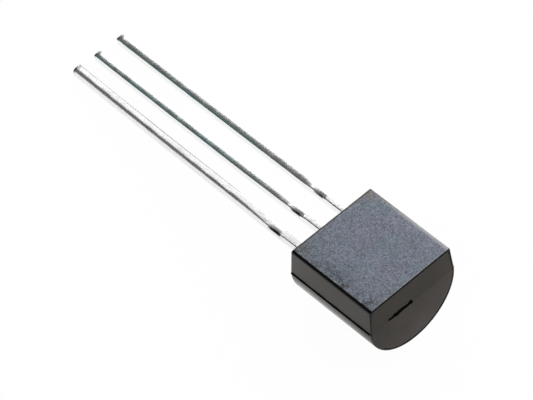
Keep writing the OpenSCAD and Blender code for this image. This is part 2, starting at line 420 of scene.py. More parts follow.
@dataclass(frozen=True)
class GrainGroup:
    """The shared node group for the fine grain and the slow mottling of a surface."""

    name: str = "grain_and_mottling"
    inputs: tuple[tuple[str, str, float | None], ...] = (
        ("Vector", "NodeSocketVector", None), ("Grain Scale", "NodeSocketFloat", 20.0),
        ("Mottling Scale", "NodeSocketFloat", 2.0), ("Speck Share", "NodeSocketFloat", 0.1))

    def tree(self) -> bpy.types.NodeTree:
        """Returns the group, which is made the first time."""
        return bpy.data.node_groups.get(self.name) or self._make()

    def _make(self) -> bpy.types.NodeTree:
        """Draws the group's nodes."""
        tree = bpy.data.node_groups.new(self.name, "ShaderNodeTree")
        for name, kind, value in self.inputs:
            socket = tree.interface.new_socket(name, in_out="INPUT", socket_type=kind)
            if value is not None:
                socket.default_value = value
        for name in ("Grain", "Mottling", "Specks"):
            tree.interface.new_socket(name, in_out="OUTPUT", socket_type="NodeSocketFloat")
        sketch = NodeSketch(tree)
        given = sketch.node("NodeGroupInput").outputs
        grain = sketch.node("ShaderNodeTexNoise", {
            "Vector": given["Vector"], "Scale": given["Grain Scale"], "Detail": 4.0,
            "Roughness": 0.6})
        mottling = sketch.node("ShaderNodeTexNoise", {
            "Vector": given["Vector"], "Scale": given["Mottling Scale"], "Detail": 3.0,
            "Roughness": 0.55, "Distortion": 0.4})
        cells = sketch.node("ShaderNodeTexVoronoi", {
            "Vector": given["Vector"], "Scale": given["Grain Scale"]})
        sketch.node("NodeGroupOutput", {
            "Grain": grain.outputs["Fac"],
            "Mottling": sketch.ramp(mottling.outputs["Fac"], 0.3, 0.7),
            "Specks": sketch.math("LESS_THAN", cells.outputs["Distance"], given["Speck Share"])})
        return tree


class Finish:
    """What all finishes share: a material whose patterns lie in package millimetres."""

    name: str

    def __init__(self, package: PackageFrame) -> None:
        """Starts an empty material."""
        self.material = bpy.data.materials.new(self.name)
        self.material.use_nodes = True
        tree = self.material.node_tree
        self.sketch = NodeSketch(tree)
        self.shader = tree.nodes["Principled BSDF"]
        place, turn, _ = package.to_world.inverted().decompose()
        self.vector = self.sketch.node("ShaderNodeMapping", {
            "Vector": self.sketch.object_place(), "Location": place, "Rotation": turn.to_euler(),
            "Scale": (1 / MILLIMETRE,) * 3}).outputs[0]
        self.on = dict(zip("XYZ", self.sketch.parts(self.vector)))

    def grain(self, grain_scale: float, mottling_scale: float,
              speck_share: float = 0.0) -> bpy.types.NodeOutputs:
        """Places the shared grain group.

        Args:
            grain_scale: Grains to a millimetre.
            mottling_scale: Mottling patches to a millimetre.
            speck_share: How large the specks are, as a share of a grain.

        Returns:
            The group's outputs: Grain, Mottling and Specks.
        """
        made = self.sketch.node("ShaderNodeGroup", node_tree=GrainGroup().tree())
        for name, value in (("Vector", self.vector), ("Grain Scale", grain_scale),
                            ("Mottling Scale", mottling_scale), ("Speck Share", speck_share)):
            self.sketch.put(made.inputs[name], value)
        return made.outputs

    def mask(self, steps: Mask) -> Socket:
        """Multiplies smooth steps over the places and patterns that they name."""
        return self.sketch.times(*(self.sketch.ramp(self.on[over], *ends) for over, *ends in steps))

    def feed(self, **sources: object) -> None:
        """Joins sources to the shader's sockets, or sets them. Underscores stand for spaces."""
        for key, value in sources.items():
            self.sketch.put(self.shader.inputs[key.replace("_", " ")], value)

    def bump(self, height: Socket, relief: float) -> None:
        """Feeds a relief to the shader's normal.

        Args:
            height: The pattern, from 0 to 1.
            relief: Height of the pattern's relief, in millimetres.
        """
        bumped = self.sketch.node("ShaderNodeBump", {
            "Height": height, "Distance": relief * MILLIMETRE, "Strength": 1.0})
        self.feed(Normal=bumped.outputs["Normal"])


class CompoundFinish(Finish):
    """Black moulding compound: smooth drafted sides and a finely spark-eroded flat.

    Its masks run over X, Y and Z, over the mottling of three grains (fine, speckle and coarse)
    and over distances in millimetres: drop is from the flat face, ragged the same with a torn
    edge, inset from the flat's outline, past from the end face, away from the middle plane, beside
    from the flash, outer, end and start from the drafted outline, the end face and the lead side,
    and far_rim and near_rim from the nearest rim of either end.
    """

    name = "moulding_compound"
    side: Colour = (0.0170, 0.0120, 0.0065)
    side_light: Colour = (0.0221, 0.0156, 0.00845)
    dusty: Colour = (0.056, 0.044, 0.041)
    # Near-black, painted on edges and lines where dark reflection and shade fall.
    edge: Colour = (0.001, 0.001, 0.001)
    # The gate mark's torn floor, painted darker than the compound: partly the broken surface, partly
    # painted shade in the recess.
    broken_and_shaded: Colour = (0.005, 0.004, 0.0035)
    # Pale grey along the flat's far edge and the side just below it: a painted highlight, partly real
    # edge wear.
    highlight_and_wear: Colour = (0.385, 0.392, 0.410)
    # The flat's colours, margin included, are far lighter and bluer than the sides: partly its eroded
    # finish, partly a painted sheen.
    flat: Colour = (0.142, 0.149, 0.194)
    tinted_with_sheen: Colour = (0.124, 0.155, 0.190)
    margin_with_sheen: Colour = (0.166, 0.153, 0.148)
    level: float = -1.74
    darkest: float = 0.15
    fine_grain: tuple[float, float, float] = (18.0, 3.2, 0.26)
    speckle_grain: tuple[float, float, float] = (8.0, 1.6, 0.20)
    coarse_grain: tuple[float, float] = (3.2, 0.7)
    grain_weights: tuple[float, float, float] = (3.25, 1.75, 0.5)
    speck_weights: tuple[float, float] = (0.22, -0.20)
    corner_weight: float = -0.14
    relief: float = 0.006
    roughness: float = 0.24
    # What the coarse grain, the painted dark lines, the dark rims and the painted line shade, the
    # back and the flat add to it.
    rough_weights: tuple[float, ...] = (0.10, -0.12, -0.10, -0.08, 0.36)
    gate_roughness: float = 0.5
    # A level, and the grain's share or the flat's share on top of it.
    # wear sets the painted highlight and wear along the far edge.
    wear: tuple[float, float] = (0.2, 1.2)
    dust_level: tuple[float, float] = (0.5, 0.6)
    relief_level: tuple[float, float] = (0.2, 0.8)
    margin_inset: float = 0.05
    margin_reach: float = 2.20
    ragged: float = 0.022
    side_slope: float = 0.098
    end_slope: float = 0.038
    line_inset: float = 0.120
    gate_reach: tuple[float, float] = (0.72, 0.2)
    on_flat: Mask = (("drop", -0.0025, -0.0005),)
    corners: Mask = (("X", 0.95, 0.15), ("away", 1.0, 2.0), ("fine", 0.1, 0.7, 0.2, 1.0))
    margins: Mask = (("inset", 0.20, 0.05), ("speckle", 0.1, 0.8, 0.25, 0.8))
    # Where the painted highlight and wear lie: the flat's far edge and the strip of side below it.
    highlight_and_wear_edge: Mask = (("Y", 2.02, 2.17), ("X", 0.2, 2.8, 0.05, 1.0))
    highlight_and_wear_strip: Mask = (("Y", 1.9, 2.0), ("drop", -0.07, -0.03), ("X", 1.0, 3.2),
                        ("past", -0.10, -0.16), ("fine", 0.15, 0.75, 0.45, 1.1))
    # Painted dark reflection: black on the flat along its lead-side edge.
    stop: Mask = (("X", 0.165, 0.135, 0.0, 0.6), ("drop", -0.0025, -0.0005))
    # Masks of the flat's darker and lighter parts, with the weight of each: the collector's side,
    # its corner by the leads, a mottled band along the collector's long edge and the far side.
    shades: tuple[tuple[Mask, float], ...] = (
        ((("Y", 0.2, -2.2),), -0.10),
        ((("Y", 0.2, -2.2), ("X", 1.6, 0.1)), -0.06),
        ((("Y", -1.30, -1.95), ("speckle", 0.25, 0.8, 0.1, 1.0), ("X", -0.5, 3.2, 0.2, 1.0)), -0.55),
        ((("Y", 1.0, 2.1),), 0.09))
    # Black painted on the flat's two near edges for the dark reflection in their rounding, and along
    # the parting line for its shade.
    painted_dark_lines: tuple[Mask, ...] = (
        (("drop", -0.17, -0.12), ("Y", -2.03, -2.10)),
        (("ragged", -0.052, -0.032), ("past", -0.15, -0.12)),
        (("beside", 0.105, 0.085), ("away", 2.24, 2.29)))
    # Thin dark rims painted along the far and the near end, and black painted in the end line's
    # groove for its shade.
    dark_rims_and_line_shade: tuple[Mask, ...] = (
        (("far_rim", -0.065, -0.035), ("Z", 0.3, 1.0, 0.42, 1.0)),
        (("near_rim", -0.08, -0.03, 0.0, 0.7),),
        (("line", 0.065, 0.050), ("end", -0.11, -0.08), ("Z", -0.3, -1.0, 0.0, 0.6),
         ("Y", -1.3, -0.5)))
    spot: Mask = (("drop", -0.34, -0.14, 0.0, 0.12),)
    # Dust on the end face, more of it lower down and on the far side.
    on_end: Mask = (("past", -0.09, -0.06),)
    dust: tuple[Mask, ...] = (
        (("Z", 0.12, -0.12, 0.0, 0.22),), (("Z", 0.0, -2.2, 0.0, 0.35),),
        (("Y", 1.1, 2.3, 0.0, 0.40),))
    back: Mask = (("Z", -0.25, -0.60),)
    gate: Mask = (("past", -0.02, -0.035), ("past", -0.4, -0.3))

    def __init__(self, package: PackageFrame, mould: "MouldedBody") -> None:
        """Draws the finish.

        Args:
            package: The package's own frame.
            mould: The body that the finish is for.
        """
        super().__init__(package)
        sketch, on = self.sketch, self.on
        fine, speckle = self.grain(*self.fine_grain), self.grain(*self.speckle_grain)
        coarse = self.grain(*self.coarse_grain)
        on.update(fine=fine["Mottling"], speckle=speckle["Mottling"], coarse=coarse["Mottling"])
        self._measure(mould)
        on_flat, corners = self.mask(self.on_flat), self.mask(self.corners)
        # Painted highlight, partly wear, along the flat's far edge.
        bare, grain_share = self.wear
        highlight_and_wear = sketch.times(self.mask(self.highlight_and_wear_edge), sketch.stack(bare, (fine["Grain"], grain_share)),
                            clamp=True)
        shade = sketch.stack(
            self.level,
            *zip((fine["Grain"], speckle["Grain"], coarse["Grain"]), self.grain_weights),
            *((self.mask(mask), weight) for mask, weight in self.shades),
            (corners, self.corner_weight),
            *zip((fine["Specks"], speckle["Specks"]), self.speck_weights))
        # The flat's colour: partly the eroded finish, partly a painted sheen.
        flat = sketch.mix(on["coarse"], self.flat, self.tinted_with_sheen)
        flat = sketch.mix(sketch.highest(self.mask(self.margins), corners), flat, self.margin_with_sheen)
        flat = sketch.node("ShaderNodeVectorMath", {
            0: flat, "Scale": sketch.highest(shade, self.darkest)}, operation="SCALE").outputs[0]
        flat = sketch.mix(highlight_and_wear, flat, self.highlight_and_wear)

        # Painted dark reflection on the flat's two near edges and painted shade along the parting
        # line.
        painted_dark_lines = sketch.highest(*map(self.mask, self.painted_dark_lines))
        # Painted shade in the end line's groove, with the thin dark rims of both ends.
        dark_rims_and_line_shade = sketch.highest(*map(self.mask, self.dark_rims_and_line_shade))
        thin, thick = self.dust_level
        dust = sketch.times(self.mask(self.on_end), sketch.plus(*map(self.mask, self.dust)),
                            sketch.stack(thin, (on["coarse"], thick)))
        side = sketch.mix(on["coarse"], self.side, self.side_light)
        side = sketch.mix(dust, side, self.dusty)
        # Near-black painted on those lines, on the end rims and in the end line's groove.
        side = sketch.mix(sketch.highest(painted_dark_lines, dark_rims_and_line_shade), side, self.edge)
        # The painted highlight and wear carry on down the strip of side below the far edge.
        side = sketch.mix(sketch.times(self.mask(self.highlight_and_wear_strip), highlight_and_wear), side, self.highlight_and_wear)

        near = [sketch.math("LESS_THAN", sketch.apart(on[axis], middle), reach)
                for axis, middle, reach in zip("YZ", mould.gate_middle, self.gate_reach)]
        gate = sketch.times(self.mask(self.gate), *near)
        colour = sketch.mix(on_flat, side, flat)
        # A black line painted on the flat along its lead-side edge, for the dark reflection there.
        colour = sketch.mix(self.mask(self.stop), colour, self.edge)
        # Painted shade, with the broken surface, in the gate mark's recess.
        colour = sketch.mix(gate, colour, self.broken_and_shaded)
        rough = sketch.stack(self.roughness, *zip(
            (coarse["Grain"], painted_dark_lines, dark_rims_and_line_shade, self.mask(self.back), on_flat), self.rough_weights))
        rough = sketch.math("MULTIPLY_ADD", gate, self.gate_roughness, rough, clamp=True)
        self.feed(Base_Color=colour, Roughness=rough)
        smooth, eroded = self.relief_level
        self.bump(sketch.times(fine["Grain"], sketch.stack(smooth, (on_flat, eroded))), self.relief)

    def _measure(self, mould: "MouldedBody") -> None:
        """Adds the distances that the masks run over.

        Args:
            mould: The body that they are measured on.
        """
        sketch, on = self.sketch, self.on
        on["away"] = sketch.math("ABSOLUTE", on["Y"])
        on["drop"] = sketch.minus(on["Z"], mould.front_depth)
        on["ragged"] = sketch.stack(on["drop"], (on["fine"], self.ragged))
        on["past"] = sketch.minus(on["X"], mould.height)
        on["beside"] = sketch.apart(on["Z"], mould.flash_rise)
        on["inset"] = sketch.lowest(sketch.minus(on["X"], self.margin_inset),
                                    sketch.minus(mould.height - self.margin_inset, on["X"]),
                                    sketch.minus(self.margin_reach, on["away"]))
        leaning, hanging = sketch.highest(on["Z"], 0.0), sketch.lowest(on["Z"], 0.0)
        flare = sketch.stack(on["away"], (leaning, self.side_slope))
        radius = sketch.math("SQRT", sketch.plus(sketch.times(flare, flare),
                                                 sketch.times(hanging, hanging)))
        on["outer"] = sketch.minus(radius, mould.width / 2)
        on["end"] = sketch.stack(on["past"], (leaning, self.end_slope))
        on["start"] = sketch.stack(sketch.times(on["X"], -1.0), (leaning, self.end_slope))
        # The far rim widens to a dark spot below the corners of the flat.
        on["far_rim"] = sketch.plus(sketch.lowest(on["outer"], on["end"]), self.mask(self.spot))
        on["near_rim"] = sketch.lowest(on["outer"], on["start"])
        on["line"] = sketch.apart(on["outer"], -self.line_inset)


class TinFinish(Finish):
    """Dipped tin on a stamped lead, dull where the dam bar was sheared off.

    Its masks run over X, Y and Z and over distances in millimetres: front is from the front face,
    across from the middle of a lead, tip from its tip, stub and past from the sheared part's
    start and end, lagging from its start but later on the collector, and torn is across with
    a torn edge.
    """

    name = "tinned_lead"
    bright: Colour = (0.93, 0.93, 0.925)
    # Cyan tint painted on the low side of the front face, for the colour of the dark reflection
    # there.
    painted_reflection_tint: Colour = (0.66, 0.87, 0.88)
    sheared: Colour = (0.50, 0.50, 0.48)
    black: Colour = (0.045, 0.045, 0.045)
    burred: Colour = (0.10, 0.12, 0.12)
    fine_grain: tuple[float, float, float] = (22.0, 2.6, 0.1)
    slow_grain: tuple[float, float] = (5.0, 0.6)
    relief: float = 0.0045
    fine_relief: float = 0.12
    roughness: float = 0.22
    # What the mottling, the haze and the collector's dullness add to it.
    rough_weights: tuple[float, ...] = (0.08, 0.15, 0.15)
    # Where the collector's lead ends and the next one starts, in pitches.
    collector_edge: tuple[float, float] = (-0.6, -0.4)
    painted_reflection_tint_level: tuple[float, float] = (0.4, 0.7)
    haze_share: float = 0.45
    lag: float = -0.15
    torn_shift: float = 0.05
    torn_share: float = 0.10
    painted_reflection_tint_far: Mask = (("X", -1.0, -9.0),)
    painted_reflection_tint_band: Mask = (("front", -0.15, -0.06), ("across", -0.02, -0.09))
    # Where a black line is painted along the collector's high edge, for the dark reflection in its
    # rounding.
    painted_edge_reach: Mask = (("X", -8.5, -14.0, 0.165, 0.210),)
    painted_edge_start: Mask = (("X", -3.6, -5.0, 0.0, 0.75),)
    cut: Mask = (("front", -0.15, -0.06), ("tip", 0.10, 0.05), ("across", 0.20, 0.02, 0.15, 0.85))
    dam: Mask = (("lagging", -0.11, -0.21), ("past", -0.03, 0.20), ("front", -0.15, -0.06))
    torn_in: Mask = (("lagging", -0.30, -0.12, 0.0, 0.05),)
    torn_out: Mask = (("stub", -0.25, -0.76, 0.0, 0.05),)
    black_band: Mask = (("torn", -0.13, -0.19),)
    haze_band: Mask = (("torn", 0.02, -0.14),)

    def __init__(self, package: PackageFrame, lead: "Lead") -> None:
        """Draws the finish.

        Args:
            package: The package's own frame.
            lead: One of the leads that the finish is for.
        """
        super().__init__(package)
        sketch, on, pitch = self.sketch, self.on, lead.pitch
        fine, slow = self.grain(*self.fine_grain), self.grain(*self.slow_grain)
        collector = sketch.ramp(on["Y"], *(pitch * edge for edge in self.collector_edge), 1.0, 0.0)
        turned = sketch.math("MODULO", sketch.plus(on["Y"], 2.5 * pitch), pitch)
        on["across"] = sketch.minus(turned, pitch / 2)
        on["front"] = sketch.minus(on["Z"], lead.thickness)
        on["tip"] = sketch.plus(on["X"], lead.length)
        on["stub"] = sketch.plus(on["X"], lead.dam_gap)
        on["past"] = sketch.plus(on["X"], lead.dam_gap + lead.dam_length)
        on["lagging"] = sketch.stack(on["stub"], (collector, self.lag))
        torn = sketch.stack(sketch.minus(on["across"], self.torn_shift),
                            (fine["Grain"], self.torn_share))
        on["torn"] = sketch.plus(torn, self.mask(self.torn_out), self.mask(self.torn_in))

        # Painted reflection: cyan tint where the dark band of reflection lies on each front face,
        # except the collector's.
        even, mottled = self.painted_reflection_tint_level
        painted_reflection_tint = sketch.times(self.mask(self.painted_reflection_tint_far), sketch.minus(1.0, collector),
                            sketch.stack(even, (slow["Mottling"], mottled)), clamp=True)
        painted_reflection_tint = sketch.times(painted_reflection_tint, self.mask(self.painted_reflection_tint_band))
        # Painted dark reflection: a black line along the collector's high edge.
        painted_edge_line = sketch.math("GREATER_THAN", on["across"], self.mask(self.painted_edge_reach))
        painted_edge_line = sketch.times(painted_edge_line, collector, self.mask(self.painted_edge_start))
        # Sheared stub: black along the collector's side of each lead, with a haze round it.
        dam = self.mask(self.dam)
        black = sketch.times(dam, self.mask(self.black_band))
        haze = sketch.times(dam, self.mask(self.haze_band))
        colour = sketch.mix(painted_reflection_tint, self.bright, self.painted_reflection_tint)
        for share, tone in ((painted_edge_line, self.black), (self.mask(self.cut), self.burred),
                            (sketch.times(haze, self.haze_share), self.sheared), (black, self.black)):
            colour = sketch.mix(share, colour, tone)
        rough = sketch.stack(self.roughness,
                             *zip((fine["Mottling"], haze, collector), self.rough_weights))
        self.feed(Base_Color=colour, Roughness=rough, Metallic=1.0)
        self.bump(sketch.stack(slow["Grain"], (fine["Grain"], self.fine_relief)), self.relief)


class SilverEpoxyFinish(Finish):
    """Die attach: grey epoxy full of silver flake."""

    name = "silver_epoxy"
    paste: Colour = (0.33, 0.33, 0.31)
    flake: Colour = (0.80, 0.79, 0.76)
    fine_grain: tuple[float, float, float] = (60.0, 9.0, 0.3)
    relief: float = 0.004

    def __init__(self, package: PackageFrame) -> None:
        """Draws the finish in the package's own frame."""
        super().__init__(package)
        fine = self.grain(*self.fine_grain)
        self.feed(Base_Color=self.sketch.mix(fine["Specks"], self.paste, self.flake),
                  Metallic=self.sketch.stack(0.3, (fine["Specks"], 0.5)),
                  Roughness=self.sketch.stack(0.4, (fine["Mottling"], 0.15)))
        self.bump(fine["Grain"], self.relief)


class SiliconFinish(Finish):
    """Polished die with its two aluminium bonding pads and the junction window."""

    name = "silicon_die"
    silicon: Colour = (0.075, 0.085, 0.125)
    oxide: Colour = (0.11, 0.20, 0.16)
    haze: Colour = (0.15, 0.16, 0.22)
    aluminium: Colour = (0.87, 0.87, 0.86)
    fine_grain: tuple[float, float, float] = (30.0, 6.0, 0.05)
    relief: float = 0.001
    window_relief: float = 2.0
    window_pads: float = 3.4
    top_drop: tuple[float, float] = (-0.012, -0.004)

    def __init__(self, package: PackageFrame, middle: Vector, pad_offset: float,
                 pad_side: float) -> None:
        """Draws the finish.

        Args:
            package: The package's own frame.
            middle: Middle of the die's top, in package millimetres.
            pad_offset: Distance from the die's middle to a pad's middle.
            pad_side: Side of a bonding pad.
        """
        super().__init__(package)
        sketch = self.sketch
        fine = self.grain(*self.fine_grain)
        on_top = sketch.ramp(sketch.minus(self.on["Z"], middle.z), *self.top_drop)
        base = self._square(middle + Vector((-pad_offset, -pad_offset / 2, 0)), pad_side)
        emitter = self._square(middle + Vector((pad_offset / 2, pad_offset, 0)), pad_side)
        pads = sketch.times(sketch.highest(base, emitter), on_top)
        window = sketch.times(self._square(middle, pad_side * self.window_pads), on_top)
        colour = sketch.mix(window, self.silicon, self.oxide)
        colour = sketch.mix(sketch.times(fine["Mottling"], 0.2), colour, self.haze)
        self.feed(Base_Color=sketch.mix(pads, colour, self.aluminium), Metallic=pads,
                  Roughness=sketch.stack(0.12, (pads, 0.2)))
        self.bump(sketch.stack(fine["Grain"], (window, self.window_relief)), self.relief)

    def _square(self, middle: Vector, side: float) -> Socket:
        """A mask that is 1 in a square seen from above."""
        reach = [self.sketch.apart(self.on[axis], value) for axis, value in zip("XY", middle)]
        return self.sketch.math("LESS_THAN", self.sketch.highest(*reach), side / 2)


class GoldFinish(Finish):
    """Drawn gold wire."""

    name = "gold_wire"
    gold: Colour = (1.0, 0.72, 0.32)
    deep: Colour = (0.93, 0.60, 0.22)
    fine_grain: tuple[float, float, float] = (80.0, 12.0, 0.1)
    relief: float = 0.0006

    def __init__(self, package: PackageFrame) -> None:
        """Draws the finish in the package's own frame."""
        super().__init__(package)
        fine = self.grain(*self.fine_grain)
        self.feed(Base_Color=self.sketch.mix(fine["Mottling"], self.gold, self.deep), Metallic=1.0,
                  Roughness=self.sketch.stack(0.14, (fine["Grain"], 0.15)))
        self.bump(fine["Grain"], self.relief)


# ---------------------------------------------------------------- moulded body


@dataclass
class MouldedBody:
    """The moulded body: a flat front half, a round back, flash on both sides and the gate mark.

    Sizes are in millimetres and angles in degrees. The fine line that the mould's end plate left
    on the end face swells by its stations, from the parting plane round the back.
    """

    bench: Bench
    width: float = 4.70
    height: float = 4.70
    front_depth: float = 1.34
    side_draft: float = 5.25
    end_draft: float = 2.2
    far_draft: float = 4.7
    long_radius: float = 0.13
    far_radius: float = 0.05
    end_radius: float = 0.05
    back_radius: float = 0.06
    rounded_from: float = 30.0
    edge_steps: int = 7
    back_steps: int = 72
    flash_proud: float = 0.050
    flash_sunk: float = 0.02
    flash_thickness: float = 0.156
    flash_rise: float = 0.03
    flash_rings: int = 150
    flash_waves: tuple[float, float] = (2.1, 9.0)
    flash_drift: float = 0.15
    flash_ragged: float = 0.04
    flash_uneven: float = 0.05
    flash_wander: float = 0.008
    gate_length: float = 1.36
    gate_width: float = 0.265
    gate_widths: Stations = (
        (-0.50, 0.35), (-0.42, 0.60), (-0.15, 0.95), (0.05, 0.82), (0.30, 0.72), (0.44, 0.85),
        (0.50, 0.8))
    gate_depth: float = 0.14
    gate_middle: tuple[float, float] = (-0.70, 0.11)
    gate_grid: tuple[int, int] = (34, 6)
    gate_teeth: float = 13.0
    gate_torn: float = 0.5
    gate_drift: float = 0.035
    gate_unevenness: float = 0.03
    gate_waves: tuple[float, float] = (5.0, 9.0)
    line_inset: float = 0.098
    line_width: float = 0.048
    line_depth: float = 0.06
    line_drop: float = 0.10
    line_steps: int = 12
    line_end: float = 142.0
    line_swell: Stations = (
        (0.0, 1.0), (30.0, 1.55), (60.0, 2.3), (95.0, 2.1), (120.0, 1.0), (180.0, 1.0))
    line_shift: float = 0.02

    def build(self, held: list[Piece]) -> Piece:
        """Moulds the body round everything that it holds.

        Args:
            held: The solids inside it, in package millimetres. They stay in the scene.

        Returns:
            The body, in package millimetres.
        """
        body = self.bench.solid(self._shell(), "dressed_moulded_body")
        rounding = body.modifiers.new("rounded_edges", "BEVEL")
        rounding.limit_method = "WEIGHT"
        rounding.width = self.long_radius
        rounding.segments = self.edge_steps
        rounding.profile = 0.5
        for side in Side:
            self.bench.combine(body, self.bench.solid(self._flash(side), "flash"), Operation.JOIN)
        self.bench.combine(body, self.bench.solid(self._end_line(), "end_line"), Operation.CUT)
        self.bench.combine(body, self.bench.solid(self._gate(), "gate"), Operation.CUT)
        for piece in held:
            self.bench.combine(body, piece, Operation.CUT, keep_tool=True)
        return body

    def _shell(self) -> Shape:
        """Draws the section, carries it along the leads, drafts it and weighs its edges."""
        shape = bmesh.new()
        first = shape.verts.new((0.0, self.width / 2, 0.0))
        turned = carry(shape, [first], self.back_steps, turn=-180.0)
        last = next(part for part in turned if isinstance(part, bmesh.types.BMVert))
        risen = bmesh.ops.extrude_vert_indiv(shape, verts=[first, last])["verts"]
        for corner in risen:
            draft = self.side_draft if corner.co.y < 0 else self.far_draft
            inset = self.front_depth * math.tan(math.radians(draft))
            corner.co.y -= math.copysign(inset, corner.co.y)
            corner.co.z = self.front_depth
        bmesh.ops.contextual_create(shape, geom=risen)
        section = bmesh.ops.edgeloop_fill(shape, edges=shape.edges[:])["faces"]
        thicken(shape, section, (self.height, 0, 0))
        bmesh.ops.recalc_face_normals(shape, faces=shape.faces[:])
        bmesh.ops.bisect_plane(shape, geom=shape.verts[:] + shape.edges[:] + shape.faces[:],
                               plane_co=(0, 0, 0), plane_no=(0, 0, 1), dist=1e-5)
        slope = math.tan(math.radians(self.end_draft))
        for vert in shape.verts:
            if vert.co.z > 0:
                vert.co.x += math.copysign(vert.co.z * slope, self.height / 2 - vert.co.x)
        radii = shape.edges.layers.float.new("bevel_weight_edge")
        for edge in shape.edges:
            if edge.calc_face_angle(0.0) > math.radians(self.rounded_from):
                edge[radii] = self._edge_radius(edge) / self.long_radius
        return shape

    def _edge_radius(self, edge: bmesh.types.BMEdge) -> float:
        """The radius that an edge of the shell is rounded by."""
        one, other = edge.verts
        if min(one.co.z, other.co.z) < self.front_depth / 2:
            return self.back_radius
        if abs(one.co.x - other.co.x) < self.height / 2:
            return self.end_radius
        return self.long_radius if one.co.y < 0 else self.far_radius

    def _flash(self, side: Side) -> Shape:
        """Draws the uneven ridge where the two halves of the mould met, on one side."""
        centre = side.value * (self.width / 2 - self.flash_sunk)
        shape = diamond(Matrix.Translation((self.back_radius, centre, 0))
                        @ Matrix.Diagonal((1, self.flash_proud + self.flash_sunk,
                                           self.flash_thickness / 2, 1))
                        @ Matrix.Rotation(math.pi / 2, 4, "Y"))
        carry(shape, shape.verts[:] + shape.edges[:], self.flash_rings,
              by=(self.height - 2 * self.back_radius, 0, 0))
        slow, quick = self.flash_waves
        for vert in shape.verts:
            # Each side reads the noise along a line of its own.
            drift = noise.noise(Vector((vert.co.x * slow, side.value * 7.0, 0)))
            ragged = noise.noise(Vector((vert.co.x * quick, side.value * 3.0, 5.0)))
            swell = 1 + self.flash_drift * drift + self.flash_ragged * ragged
            vert.co.y = centre + (vert.co.y - centre) * swell
            vert.co.z *= 1 + self.flash_uneven * ragged
            vert.co.z += self.flash_rise + self.flash_wander * drift
        close_ends(shape)
        return shape

    def _end_line(self) -> Shape:
        """Draws the cutting shape of the end plate's line: down the far side and round the back."""
        reach = self.width / 2 - self.line_inset
        top = self.front_depth - self.line_drop
        down = Vector((math.tan(math.radians(self.end_draft)) * top,
                       math.tan(math.radians(self.far_draft)) * top, -top))
        shape = diamond(Matrix.Translation(Vector((self.height, reach, 0)) - down)
                        @ Matrix.Diagonal((self.line_depth, self.line_width / 2, 1, 1)))
        flank = carry(shape, shape.verts[:] + shape.edges[:], self.line_steps, by=tuple(down))
        carry(shape, flank, self.back_steps, turn=-self.line_end)
        for vert in (v for v in shape.verts if v.co.z < 0):
            radius = math.hypot(vert.co.y, vert.co.z)
            swell = between(math.degrees(math.atan2(-vert.co.z, vert.co.y)), self.line_swell)
            vert.co.yz *= (reach - self.line_shift * (swell - 1)
                           + (radius - reach) * swell) / radius
        close_ends(shape)
        return shape

    def _gate(self) -> Shape:
        """Draws the cutting shape of the gate mark: a torn bar with an uneven floor."""
        shape = square(Matrix(), *self.gate_grid)
        middle_y, middle_z = self.gate_middle
        slow, quick = self.gate_waves
        for vert in shape.verts:
            along, up = vert.co.x, vert.co.y * 2
            drift = noise.noise(Vector((along * quick, 0.0, 1.7)))
            tooth = round(along * self.gate_teeth)
            torn = noise.noise(Vector((tooth * 1.7, math.copysign(2.0, up), 4.2)))
            half = self.gate_width / 2 * between(along, self.gate_widths)
            y = along * self.gate_length + 0.01 * torn
            z = up * half * (1 + self.gate_torn * torn) + self.gate_drift * drift
            floor = self.gate_unevenness * noise.noise(Vector((y * slow, z * quick, 9.0)))
            vert.co = (self.height - self.gate_depth + floor, middle_y + y, middle_z + z)
        thicken(shape, shape.faces[:], (self.gate_depth * 4, 0, 0))
        return shape


# ---------------------------------------------------------------- lead frame


@dataclass(frozen=True)
class Blank:
    """A rounded rectangle of the stamped strip, from its low corner to its high corner."""

    low: tuple[float, float]
    high: tuple[float, float]
    corner: float = 0.0


class Terminal(Enum):
    """The three leads, by their place across the package in pitches."""

    EMITTER = 1
    BASE = 0
    COLLECTOR = -1

    @property
    def node(self) -> str:
        """Name of the CAD node of this lead."""
        return self.name.lower() + "_lead"


